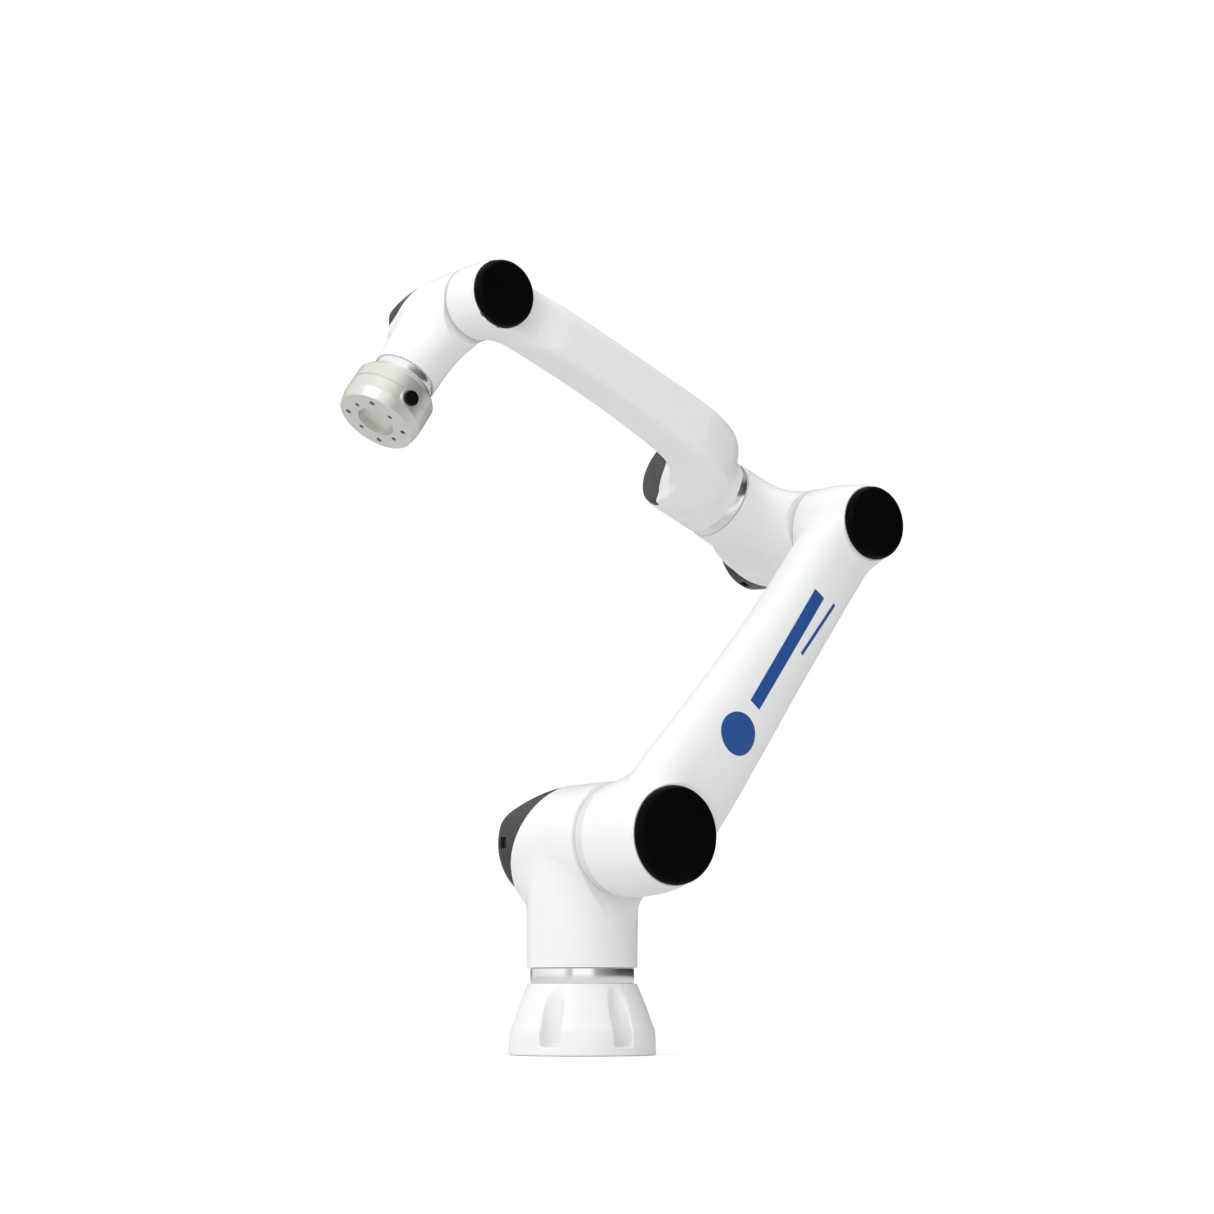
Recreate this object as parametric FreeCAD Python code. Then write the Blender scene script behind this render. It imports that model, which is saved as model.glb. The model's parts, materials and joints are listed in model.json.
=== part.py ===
import FreeCAD, Part
import math
import os

# Six-axis robot arm standing on a bolted base.  Millimetres, +Z up, origin at
# the centre of the base's underside, +X the way the arm reaches, +Y the way
# the three hinge axes point.  The rest pose is the reaching pose of the arm.
V = FreeCAD.Vector

# ---- kinematic dimensions ----
shoulder_height = 220.0      # base underside to the shoulder axis
upper_link = 450.0           # shoulder axis to elbow axis
fore_link = 500.0            # elbow axis to wrist axis
tool_link = 150.0            # wrist axis to the tool face
upper_lean = 38.89           # upper arm from vertical, leaning back
fore_rise = 22.31            # forearm above horizontal
tool_dip = 56.28             # tool axis below horizontal

# ---- base ----
base_r = 77.0
base_rim_h = 25.0
base_top_z = 72.7
base_wall = 7.0
base_phase = 3.0             # bolt pockets from +Y towards +X, degrees
foot_pcd = 138.0
foot_hole_r = 4.5
pocket_r = 11.0
pocket_floor = 9.0

# ---- clearances ----
gap = 0.3                    # between surfaces of different links

# ---- modules ----
# rh hinge tube, ys hinge seam, rt0/rt1 turning tube at the corner and the ring,
# sr ring seam, bh/bt bores, cy/ck oblique cut (y = -cy - ck * s), ye cover end,
# c0/c1 slope across the cover's top (y = -c0 - c1 * (s + rh)),
# rear_h/rear_t where the two drives begin, fr corner rounding
SHOULDER = dict(rh=60.5, ys=62.0, rt0=59.0, rt1=57.5, sr=130.8, bh=52.0, bt=50.0,
                cy=38.5, ck=0.53, ye=73.0, c0=14.0, c1=1.5, rear_h=6.0, rear_t=54.5, fr=20.0)
ELBOW = dict(rh=50.0, ys=71.0, rt0=48.0, rt1=46.5, sr=98.0, bh=42.0, bt=40.0,
             cy=25.5, ck=0.50, ye=53.0, c0=6.0, c1=1.3, rear_h=5.5, rear_t=44.5, fr=18.0)
WRIST = dict(rh=38.5, ys=55.6, rt0=37.5, rt1=34.0, sr=87.8, bh=32.5, bt=29.5,
             cy=12.0, ck=0.95, ye=51.0, c0=-21.0, c1=1.5, rear_h=26.0, rear_t=34.5, fr=16.0)

# ---- link ends ----
J2_hub = [(60.0, 77.6), (60.0, 96.0), (58.0, 122.0), (54.5, 140.0), (51.0, 151.0)]
J3_hub = [(49.0, 76.0), (49.0, 96.0), (47.0, 122.0), (44.0, 139.0), (41.0, 149.0)]
J5_hub = [(38.5, 60.0), (38.5, 74.0), (37.6, 88.0), (36.4, 97.0), (35.2, 103.0)]
J2_cap_y, J2_cap_r0, J2_cap_r1 = 163.0, 50.0, 46.7
J3_cap_y, J3_cap_r0, J3_cap_r1 = 160.0, 40.2, 36.8
J5_cap_y, J5_cap_r0, J5_cap_r1 = 113.0, 34.6, 31.2
shell_wall = 5.0

# ---- tool flange ----
flange_face_r = 40.5
tool_pcd = 63.0
tool_hole_r = 3.0
pilot_r = 20.0
pilot_depth = 6.0


def rad(a):
    return math.radians(a)


J1O = V(0, 0, 0)
E2 = V(-math.sin(rad(upper_lean)), 0, math.cos(rad(upper_lean)))
N2 = V(math.cos(rad(upper_lean)), 0, math.sin(rad(upper_lean)))
E4 = V(math.cos(rad(fore_rise)), 0, math.sin(rad(fore_rise)))
N4 = V(-math.sin(rad(fore_rise)), 0, math.cos(rad(fore_rise)))
E6 = V(math.cos(rad(tool_dip)), 0, -math.sin(rad(tool_dip)))
N6 = V(math.sin(rad(tool_dip)), 0, math.cos(rad(tool_dip)))
Y = V(0, 1, 0)
Z = V(0, 0, 1)
J2 = V(0, 0, shoulder_height)
J3 = J2 + E2 * upper_link
J5 = J3 + E4 * fore_link
FACE = J5 + E6 * tool_link


# ---------------------------------------------------------------- helpers
def place(shape, origin, d, xref=None):
    """Moves a shape built about +Z at the origin so that +Z is d at origin."""
    d = V(d.x, d.y, d.z)
    d.normalize()
    if xref is None:
        rot = FreeCAD.Rotation(Z, d)
    else:
        x = V(xref.x, xref.y, xref.z)
        x = x - d * x.dot(d)
        x.normalize()
        rot = FreeCAD.Rotation(x, d.cross(x), d, "ZXY")
    out = shape.copy()
    out.Placement = FreeCAD.Placement(origin, rot)
    return out


def rev(profile, origin, d, xref=None):
    """Solid of revolution of a closed (radius, height) polygon about d."""
    pts = [V(r, 0, t) for r, t in profile]
    wire = Part.makePolygon(pts + [pts[0]])
    solid = Part.Face(wire).revolve(V(0, 0, 0), Z, 360)
    if solid.Volume < 0:
        solid.reverse()
    return place(solid, origin, d, xref)


def ring(ro, ri, t0, t1, origin, d):
    return rev([(ri, t0), (ro, t0), (ro, t1), (ri, t1)], origin, d)


def disc(r, t0, t1, origin, d):
    return Part.makeCylinder(r, t1 - t0, origin + d * t0, d)


def cone(r0, r1, t0, t1, origin, d):
    if abs(r0 - r1) < 1e-6:
        return disc(r0, t0, t1, origin, d)
    return Part.makeCone(r0, r1, t1 - t0, origin + d * t0, d)


def box(sx, sy, sz, origin, d, xref):
    """Box centred in x and y, from 0 to sz along d."""
    b = Part.makeBox(sx, sy, sz, V(-sx / 2.0, -sy / 2.0, 0))
    return place(b, origin, d, xref)


def tidy(s):
    s = s.removeSplitter()
    if s.ShapeType == "Compound" and len(s.Solids) == 1:
        s = s.Solids[0]
    return s


def ellipse(centre, u, v, ru, rv):
    """Closed wire, an ellipse with half axis ru along u and rv along v."""
    if ru >= rv:
        e = Part.Ellipse(centre + u * ru, centre + v * rv, centre)
    else:
        e = Part.Ellipse(centre + v * rv, centre - u * ru, centre)
    return Part.Wire([e.toShape()])


def oval(centre, u, v, ru, rv, power=2.5, n=24):
    """Closed wire, a superellipse through n points."""
    pts = []
    for i in range(n):
        a = 2 * math.pi * i / n
        c, s = math.cos(a), math.sin(a)
        x = ru * math.copysign(abs(c) ** (2.0 / power), c)
        y = rv * math.copysign(abs(s) ** (2.0 / power), s)
        pts.append(centre + u * x + v * y)
    b = Part.BSplineCurve()
    b.interpolate(pts, PeriodicFlag=True)
    return Part.Wire([b.toShape()])


def try_fillet(shape, picks, radius):
    """Rounds the edges that pass near the picked points, if they take it."""
    edges = []
    for p in picks:
        best = min(shape.Edges, key=lambda e: e.distToShape(Part.Vertex(p))[0])
        if all(not best.isSame(e) for e in edges):
            edges.append(best)
    for r in (radius, radius * 0.7, radius * 0.45):
        try:
            out = shape.makeFillet(r, edges)
            if out.isValid() and out.Volume > 0.8 * shape.Volume:
                return out
        except Exception:
            pass
    return shape


OUT = {}


def put(name, shape):
    shape = tidy(shape)
    assert shape.Volume > 1.0, name
    OUT[name] = shape


# ---------------------------------------------------------------- actuators
def actuator(tag, origin, d, t0, t1, R, ring_r, ring_len, shaft=0.24):
    """One hollow joint drive.  d points to its output side, the housing ends
    at t1, and the output ring runs on for ring_len beyond it."""
    L = t1 - t0
    a = lambda f: t0 + f * L
    rs = shaft * R
    rf_i, rf_o = 0.66 * R, 0.72 * R
    # fixed in the housing
    put(tag + "_stator", ring(R, 0.60 * R, a(0.12), a(0.40), origin, d))
    put(tag + "_circular_spline", ring(R, rf_o + 0.4, a(0.50), a(0.68), origin, d))
    put(tag + "_bearing", rev([(0.84 * R, a(0.76)), (R, a(0.76)), (R, a(1.0) - 1.0),
                               (0.84 * R, a(1.0) - 1.0), (0.84 * R, a(0.92)),
                               (0.88 * R, a(0.88)), (0.84 * R, a(0.84))], origin, d))
    # fast turning shaft, magnets and wave generator
    rotor = rev([(rs, a(0.02)), (rs + 2.2, a(0.02)), (rs + 2.2, a(0.12)),
                 (0.60 * R - 0.6, a(0.12)), (0.60 * R - 0.6, a(0.40)),
                 (rs + 2.2, a(0.40)), (rs + 2.2, a(0.52)),
                 (rf_i - 0.35, a(0.52)), (rf_i - 0.35, a(0.66)),
                 (rs + 2.2, a(0.66)), (rs + 2.2, a(0.78)), (rs, a(0.78))], origin, d)
    put(tag + "_rotor", rotor)
    # output side
    put(tag + "_flexspline", rev([(rf_i, a(0.50)), (rf_o, a(0.50)), (rf_o, a(0.84)),
                                  (rs + 3.5, a(0.84)), (rs + 3.5, a(0.79)),
                                  (rf_i, a(0.79))], origin, d))
    put(tag + "_output_ring", rev([(rs + 3.5, a(0.84)), (0.84 * R - gap, a(0.84)),
                                   (0.84 * R - gap, t1 + gap), (ring_r, t1 + gap),
                                   (ring_r, t1 + ring_len), (rs + 3.5, t1 + ring_len)],
                                  origin, d))


# ---------------------------------------------------------------- modules
def module(tag, m, O, e):
    """T-shaped housing: a tube about Y cut obliquely at its back end, and a
    tube about e, with a cover on the oblique end."""
    t = math.atan(m["ck"])
    n = Y * (-math.cos(t)) + e * (-math.sin(t))
    w = e * math.cos(t) - Y * math.sin(t)
    x = Y.cross(e)
    rh, ys, sr = m["rh"], m["ys"], m["sr"]
    C = O - Y * m["cy"]
    yh = disc(rh, -2.2 * rh, ys - gap, O, Y)
    th = cone(m["rt0"], m["rt1"], 0, sr, O, e)
    body = tidy(yh.fuse(th))
    body = try_fillet(body, [O + Y * m["rt0"] + e * rh, O - Y * m["rt0"] + e * rh], m["fr"])
    body = body.cut(box(6 * rh, 6 * rh, 4 * rh, C, n, x))
    stretch = math.sqrt(1 + m["ck"] ** 2)

    def slab(r, t0, t1):
        wire = ellipse(C + n * t0, w, x, r * stretch, r)
        return Part.Face(wire).extrude(n * (t1 - t0))

    wall = rh - m["bh"]
    back = disc(m["bh"], -2.2 * rh, ys + 1, O, Y).cut(box(6 * rh, 6 * rh, 4 * rh, C - n * 6.0, n, x))
    hollow = back.fuse([disc(m["bt"], m["bh"] * 0.4, sr + 1, O, e), slab(rh - 1.5 * wall, -8.0, 1.0)])
    body = body.cut(hollow)
    put(tag + "_housing", body)
    # cover: carries the tube on to a domed end, with a small prying notch each side
    ye = m["ye"]
    k = rh / 60.0
    r = rh - 0.6
    cover = rev([(0, -ye), (0.72 * r, -ye), (0.86 * r, -ye + 1.6 * k), (0.945 * r, -ye + 5.0 * k),
                 (r, -ye + 12.0 * k), (r, rh), (0, rh)], O, Y)
    cover = cover.cut(box(8 * rh, 8 * rh, 4 * rh, C, n * -1, x))
    tc = math.atan(m["c1"])
    nc = Y * (-math.cos(tc)) + e * (-math.sin(tc))
    cover = cover.cut(box(8 * rh, 8 * rh, 4 * rh, O - e * rh - Y * m["c0"], nc, x))
    for side in (1, -1):
        cover = cover.cut(box(11 * k, 10 * k, 14 * k, O - Y * (m["cy"] + 0.62 * (ye - m["cy"]) + 5 * k) + x * side * rh, Y, x))
    put(tag + "_cover", cover)
    # round control boards behind the cover
    b = rh - wall - 12.0 * k
    boards = disc(b, -11.5 * k, -9.8 * k, C, n)
    boards = boards.fuse([
        box(0.62 * b, 0.5 * b, 5.0 * k, C - n * 9.8 * k + x * 0.35 * b, n, x),
        box(0.30 * b, 0.9 * b, 4.0 * k, C - n * 9.8 * k - x * 0.45 * b, n, x)])
    for i in range(3):
        p = C + x * (math.cos(rad(90 + 120 * i)) * (b - 3)) + w * (math.sin(rad(90 + 120 * i)) * (b - 3))
        boards = boards.fuse(disc(1.6, -10.5 * k, 0.0, p, n))
    put(tag + "_drive_boards", boards)


# ---------------------------------------------------------------- base
def bolt_points(pcd, count, phase, O, u, v):
    return [O + u * (math.sin(rad(phase + 360.0 * i / count)) * pcd / 2)
            + v * (math.cos(rad(phase + 360.0 * i / count)) * pcd / 2)
            for i in range(count)]


def base_outer(off=0.0):
    pts = [(0, 0), (base_r - off, 0), (base_r - 1.0 - off, base_rim_h), (72.8 - off, base_rim_h + 7.5),
           (68.4 - off, 46.0), (64.4 - off, 56.0), (60.6 - off, 64.5), (58.2 - off, 70.0), (57.0 - off, base_top_z), (0, base_top_z)]
    return pts


base = rev(base_outer(), J1O, Z)
for p in bolt_points(foot_pcd, 6, base_phase, J1O, V(1, 0, 0), Y):
    base = base.cut(disc(pocket_r, pocket_floor, 120, p, Z))
    out = V(p.x, p.y, 0)
    out.normalize()
    base = base.cut(box(2 * pocket_r, 40, 120, p + out * 20 + Z * pocket_floor, Z, Z.cross(out)))
    base = base.cut(disc(foot_hole_r, -1, 20, p, Z))
# hollow core, open below
core = rev([(0, 4.0), (50.0, 4.0), (50.0, 30.0), (44.0, 52.0), (44.0, base_top_z - 8),
            (30.0, base_top_z - 8), (30.0, base_top_z + 1), (0, base_top_z + 1)], J1O, Z)
base = base.cut(core).cut(disc(52.0, -1, 4.0, J1O, Z))
# connector opening at the back
base = base.cut(box(34, 22, 60, V(-44, 0, 24), V(-1, 0, 0), Y))
put("base_casting", base)
put("base_bottom_cover", disc(51.6, 0.6, 3.6, J1O, Z).fuse(ring(52.0, 50.0, 2.0, 4.0, J1O, Z)))
# power and signal inlet in that opening
inlet = box(33.6, 21.6, 23, V(-50, 0, 24), V(-1, 0, 0), Y)
inlet = inlet.cut(box(22, 11, 14, V(-62, 4.5, 21.5), V(-1, 0, 0), Y))
inlet = inlet.cut(disc(3.6, 62, 90, V(0, -12.5, 24), V(-1, 0, 0)))
put("base_power_socket", inlet)

# ---------------------------------------------------------------- three modules
module("shoulder", SHOULDER, J2, Z * -1)
module("elbow", ELBOW, J3, E4)
module("wrist", WRIST, J5, E6)

actuator("j1", J2, Z * -1, SHOULDER["rear_t"], SHOULDER["sr"], SHOULDER["bt"], 54.0,
         shoulder_height - base_top_z - SHOULDER["sr"])
actuator("j2", J2, Y, SHOULDER["rear_h"], SHOULDER["ys"] - gap, SHOULDER["bh"], 57.0,
         77.6 - (SHOULDER["ys"] - gap))
actuator("j3", J3, Y, ELBOW["rear_h"], ELBOW["ys"] - gap, ELBOW["bh"], 47.0,
         76.0 - (ELBOW["ys"] - gap))
actuator("j4", J3, E4, ELBOW["rear_t"], ELBOW["sr"], ELBOW["bt"], 45.0, 13.0)
actuator("j5", J5, Y, WRIST["rear_h"], WRIST["ys"] - gap, WRIST["bh"], 36.8,
         60.0 - (WRIST["ys"] - gap))
actuator("j6", J5, E6, WRIST["rear_t"], WRIST["sr"], WRIST["bt"], 33.0, 9.2)

# ---------------------------------------------------------------- upper arm
def hub(profile, off=0.0, y0=None):
    pts = [(max(r - off, 1.0), y) for r, y in profile]
    lo = profile[0][1] if y0 is None else y0
    pts[0] = (pts[0][0], lo)
    return pts


def hub_solid(profile, O, off=0.0, lo=None, hi=None):
    pts = [(max(r - off, 1.0), y) for r, y in profile]
    if lo is not None:
        pts[0] = (pts[0][0], lo)
    if hi is not None:
        pts[-1] = (pts[-1][0], hi)
    return rev([(0, pts[0][1])] + pts + [(0, pts[-1][1])], O, Y)


#           s, half along N2, half along Y, centre along Y, centre along N2
UP_SECT = [(0.0, 56.0, 34.0, 117.0, 0.0), (70.0, 55.5, 34.0, 117.5, -1.0), (150.0, 50.5, 34.0, 118.0, -2.0),
           (230.0, 46.0, 33.5, 118.0, -2.0), (320.0, 43.0, 33.0, 116.5, -1.5), (390.0, 42.5, 32.5, 114.5, -0.5),
           (450.0, 43.0, 32.0, 112.5, 0.0)]


def upper_beam(off):
    wires = [oval(J2 + E2 * s + Y * yc + N2 * nc, N2, Y, a - off, b - off) for s, a, b, yc, nc in UP_SECT]
    return Part.makeLoft(wires, True, False)


upper = tidy(upper_beam(0).fuse([hub_solid(J2_hub, J2), hub_solid(J3_hub, J3)]))
inner = upper_beam(shell_wall).fuse([
    hub_solid(J2_hub, J2, shell_wall, J2_hub[0][1] + 6.0, 146.0),
    hub_solid(J3_hub, J3, shell_wall, J3_hub[0][1] + 6.0, 144.0),
    disc(44.0, 145.0, 152.0, J2, Y), disc(34.5, 143.0, 150.0, J3, Y),
    disc(20.0, 70.0, 90.0, J2, Y), disc(16.0, 70.0, 90.0, J3, Y)])
upper = upper.cut(inner)
upper = upper.cut([disc(J2_cap_r0 + 1.6, 151.0, 175.0, J2, Y), disc(J3_cap_r0 + 1.6, 149.0, 175.0, J3, Y)])
put("upper_arm_shell", upper)


def end_cap(y_seat, y_face, r_seat, r_face, r_plug, O):
    h = y_face - y_seat
    return rev([(0, y_seat - 5), (r_plug, y_seat - 5), (r_plug, y_seat), (r_seat, y_seat),
                (r_seat + 0.4, y_seat + 0.3 * h), (r_seat - 0.2, y_seat + 0.62 * h),
                (r_face + 1.3, y_face - 0.9), (r_face, y_face - 0.1), (r_face - 1.0, y_face), (0, y_face)], O, Y)


put("upper_arm_lower_cap", end_cap(151.0, J2_cap_y, 50.4, J2_cap_r1, 43.8, J2))
put("upper_arm_upper_cap", end_cap(149.0, J3_cap_y, 40.4, J3_cap_r1, 34.3, J3))
h0 = J2 + Y * 100.0
h1 = J3 + Y * 100.0
harness = disc(6.0, 14.0, upper_link - 14.0, h0, E2)
harness = harness.fuse([disc(9.0, 8.0, 22.0, h0, E2), disc(9.0, upper_link - 22.0, upper_link - 8.0, h0, E2)])
for s in (120.0, 330.0):
    harness = harness.fuse(box(12.0, 22.0, 10.0, h0 + E2 * s - Y * 6.0, E2, N2))
put("upper_arm_harness", harness.cut(upper))

# ---------------------------------------------------------------- forearm
fore_y = 81.0
# s, y, direction of the path from E4 towards Y, half across, half along N4, centre along N4
FORE_SECT = [
    (149.0, 4.0, 84.0, 31.0, 43.0, 0.0),
    (153.5, 27.0, 72.0, 32.0, 42.0, 0.0),
    (165.5, 49.2, 51.0, 32.5, 40.5, 0.5),
    (187.0, 68.2, 27.0, 31.3, 38.5, 1.5),
    (218.5, 79.3, 8.0, 28.7, 36.0, 2.5),
    (270.0, 82.5, 0.5, 27.5, 33.8, 3.5),
    (345.0, 82.5, 0.0, 27.0, 32.0, 4.5),
    (420.0, 82.0, -1.0, 25.0, 32.5, 3.5),
    (465.0, 81.0, -1.0, 21.5, 33.5, 1.5),
    (500.0, 80.5, 0.0, 20.0, 34.0, 0.0)]


def fore_beam(off):
    wires = []
    for s, y, ang, ha, hb, nc in FORE_SECT:
        tdir = E4 * math.cos(rad(ang)) + Y * math.sin(rad(ang))
        across = E4 * (-math.sin(rad(ang))) + Y * math.cos(rad(ang))
        wires.append(oval(J3 + E4 * s + Y * y + N4 * nc, across, N4, ha - off, hb - off))
    return Part.makeLoft(wires, True, False)


stub_r, stub_s0, stub_s1 = 46.0, ELBOW["sr"] + 13.0, 170.0
fore = tidy(fore_beam(0).fuse([disc(stub_r, stub_s0, stub_s1, J3, E4), hub_solid(J5_hub, J5)]))
f_in = fore_beam(shell_wall).fuse([
    disc(stub_r - shell_wall, stub_s0 + 6, stub_s1 + 1, J3, E4),
    disc(15.0, stub_s0 - 1, stub_s0 + 7, J3, E4),
    hub_solid(J5_hub, J5, 4.0, J5_hub[0][1] + 5.0, 99.0),
    disc(12.0, 55.0, 70.0, J5, Y), disc(29.5, 98.0, 104.0, J5, Y)])
fore = fore.cut(f_in).cut(disc(39.6, 30.0, 60.0, J5, Y))
put("forearm_shell", fore)
elbow_cap = rev([(0, stub_s1 - 4), (stub_r - shell_wall - 0.15, stub_s1 - 4),
                              (stub_r - shell_wall - 0.15, stub_s1), (stub_r - 1.0, stub_s1),
                              (stub_r - 1.5, stub_s1 + 4.5), (stub_r - 4.0, stub_s1 + 7.0), (0, stub_s1 + 7.0)], J3, E4)
elbow_cap = elbow_cap.cut(fore_beam(0).common(disc(60.0, stub_s1, stub_s1 + 20, J3, E4))).cut(fore)
put("forearm_elbow_cap", elbow_cap)
put("forearm_wrist_cap", end_cap(103.0, J5_cap_y, 34.7, J5_cap_r1, 29.3, J5))
fh = J3 + Y * fore_y
fore_harness = disc(5.0, 215.0, fore_link - 12.0, fh, E4).fuse([
    disc(7.5, 210.0, 222.0, fh, E4), disc(7.5, fore_link - 22.0, fore_link - 8.0, fh, E4),
    box(10.0, 30.0, 9.0, fh + E4 * 300.0 - Y * 11.0, E4, N4)])
put("forearm_harness", fore_harness.cut(fore))

# ---------------------------------------------------------------- tool flange
s0 = WRIST["sr"] + 9.2
flange = rev([(10.0, s0), (34.0, s0), (35.5, s0 + 3.5), (40.8, s0 + 7.5), (43.0, s0 + 10.5),
              (43.3, 122.4), (42.5, 122.8), (42.5, 124.0), (43.3, 124.4),
              (43.3, 138.0), (flange_face_r + 0.6, tool_link - 0.8), (flange_face_r, tool_link),
              (pilot_r, tool_link), (pilot_r, tool_link - pilot_depth), (0, tool_link - pilot_depth),
              (0, tool_link - pilot_depth - 3.0), (10.0, tool_link - pilot_depth - 3.0)],
             J5, E6, Y)
for i in range(4):
    a = 45.0 + 90.0 * i
    p = J5 + Y * (math.cos(rad(a)) * tool_pcd / 2) + N6 * (math.sin(rad(a)) * tool_pcd / 2)
    flange = flange.cut(disc(tool_hole_r, tool_link - 12.0, tool_link + 1, p, E6))
conn_s, conn_q = 129.0, 0.0
boss = disc(10.0, 36.0, 46.5, J5 + E6 * conn_s + N6 * conn_q, Y)
flange = flange.fuse(boss)
flange = flange.cut(disc(7.9, 41.0, 60.0, J5 + E6 * conn_s + N6 * conn_q, Y))
put("tool_connector", disc(7.9, 41.0, 50.0, J5 + E6 * conn_s + N6 * conn_q, Y))
screws = None
for a in (0.0, 90.0, 180.0, 270.0):
    p = J5 + Y * (math.cos(rad(a)) * 26.5) + N6 * (math.sin(rad(a)) * 26.5)
    s = disc(2.6, tool_link - 3.0, tool_link - 0.6, p, E6)
    screws = s if screws is None else screws.fuse(s)
    flange = flange.cut(disc(2.6, tool_link - 3.0, tool_link + 1.0, p, E6))
put("tool_flange", flange)
put("tool_flange_screws", screws)

# ---------------------------------------------------------------- write
os.makedirs("parts", exist_ok=True)
total = 0.0
for name in OUT:
    s = OUT[name]
    bad = (not s.isValid()) or any(not q.isClosed() for q in s.Solids) or not s.Solids
    print("%-26s solids %d  vol %10.1f cm3 %s" % (name, len(s.Solids), s.Volume / 1000.0, "BAD" if bad else ""))
    s.exportStep("parts/" + name + ".step")
print(len(OUT), "nodes")
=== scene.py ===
import json
import math
import bpy
import bmesh
import numpy as np
from mathutils import Matrix, Vector


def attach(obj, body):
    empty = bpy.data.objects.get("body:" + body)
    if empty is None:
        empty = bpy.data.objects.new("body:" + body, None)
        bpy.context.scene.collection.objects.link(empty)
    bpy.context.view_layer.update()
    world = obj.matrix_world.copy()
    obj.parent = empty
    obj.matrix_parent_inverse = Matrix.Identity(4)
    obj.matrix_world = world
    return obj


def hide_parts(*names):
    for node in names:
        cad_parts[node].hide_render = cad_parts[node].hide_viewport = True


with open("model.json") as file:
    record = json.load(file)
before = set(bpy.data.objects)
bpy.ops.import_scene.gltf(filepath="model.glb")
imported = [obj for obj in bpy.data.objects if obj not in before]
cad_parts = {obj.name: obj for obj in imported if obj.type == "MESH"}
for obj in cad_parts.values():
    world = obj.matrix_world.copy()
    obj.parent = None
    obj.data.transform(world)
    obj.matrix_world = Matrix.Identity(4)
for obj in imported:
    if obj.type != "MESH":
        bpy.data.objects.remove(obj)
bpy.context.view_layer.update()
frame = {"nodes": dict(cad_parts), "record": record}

NODES = frame["nodes"]
BODY_OF = {n: b for b, ns in frame["record"]["behaviour"]["bodies"].items() for n in ns}

# ------------------------------------------------------------------ frame numbers (mm)
rad = math.radians
LEAN, RISE, DIP = 38.89, 22.31, 56.28
E2 = np.array([-math.sin(rad(LEAN)), 0.0, math.cos(rad(LEAN))])
N2 = np.array([math.cos(rad(LEAN)), 0.0, math.sin(rad(LEAN))])
E4 = np.array([math.cos(rad(RISE)), 0.0, math.sin(rad(RISE))])
N4 = np.array([-math.sin(rad(RISE)), 0.0, math.cos(rad(RISE))])
E6 = np.array([math.cos(rad(DIP)), 0.0, -math.sin(rad(DIP))])
N6 = np.array([math.sin(rad(DIP)), 0.0, math.cos(rad(DIP))])
YY = np.array([0.0, 1.0, 0.0])
ZZ = np.array([0.0, 0.0, 1.0])
J1 = np.array([0.0, 0.0, 0.0])
J2 = np.array([0.0, 0.0, 220.0])
J3 = J2 + 450.0 * E2
J5 = J3 + 500.0 * E4

# ------------------------------------------------------------------ camera
PSI, PIT = rad(37.63), rad(-8.51)
back = Vector((math.sin(PSI) * math.cos(PIT), math.cos(PSI) * math.cos(PIT), math.sin(PIT)))
right = Vector((0, 0, 1)).cross(back).normalized()
up = back.cross(right)
cam_data = bpy.data.cameras.new("camera")
cam = bpy.data.objects.new("camera", cam_data)
bpy.context.scene.collection.objects.link(cam)
cam.matrix_world = Matrix(((right.x, up.x, back.x, 1.6504), (right.y, up.y, back.y, 2.1831),
                           (right.z, up.z, back.z, 0.0603), (0, 0, 0, 1)))
cam_data.lens = 77.08
cam_data.sensor_width = 36.0
cam_data.sensor_fit = "HORIZONTAL"
cam_data.clip_start = 0.05
cam_data.clip_end = 60.0
bpy.context.scene.camera = cam


# ------------------------------------------------------------------ materials
def new_mat(name):
    m = bpy.data.materials.new(name)
    m.use_nodes = True
    nt = m.node_tree
    bsdf = nt.nodes.get("Principled BSDF")
    return m, nt, bsdf


def coords(nt):
    tc = nt.nodes.new("ShaderNodeTexCoord")
    return tc.outputs["Object"]


def noise(nt, vec, scale, detail=2.0, rough=0.5):
    n = nt.nodes.new("ShaderNodeTexNoise")
    n.inputs["Scale"].default_value = scale
    n.inputs["Detail"].default_value = detail
    n.inputs["Roughness"].default_value = rough
    nt.links.new(vec, n.inputs["Vector"])
    return n.outputs["Fac"]


def remap(nt, fac, lo, hi, a=0.3, b=0.7):
    m = nt.nodes.new("ShaderNodeMapRange")
    m.inputs["From Min"].default_value = a
    m.inputs["From Max"].default_value = b
    m.inputs["To Min"].default_value = lo
    m.inputs["To Max"].default_value = hi
    nt.links.new(fac, m.inputs["Value"])
    return m.outputs["Result"]


def ramp2(nt, fac, c0, c1, a=0.3, b=0.7):
    r = nt.nodes.new("ShaderNodeValToRGB")
    r.color_ramp.elements[0].position = a
    r.color_ramp.elements[0].color = (*c0, 1)
    r.color_ramp.elements[1].position = b
    r.color_ramp.elements[1].color = (*c1, 1)
    nt.links.new(fac, r.inputs["Fac"])
    return r.outputs["Color"]


def bump(nt, bsdf, height, strength, distance):
    b = nt.nodes.new("ShaderNodeBump")
    b.inputs["Strength"].default_value = strength
    b.inputs["Distance"].default_value = distance
    nt.links.new(height, b.inputs["Height"])
    nt.links.new(b.outputs["Normal"], bsdf.inputs["Normal"])
    return b


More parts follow.
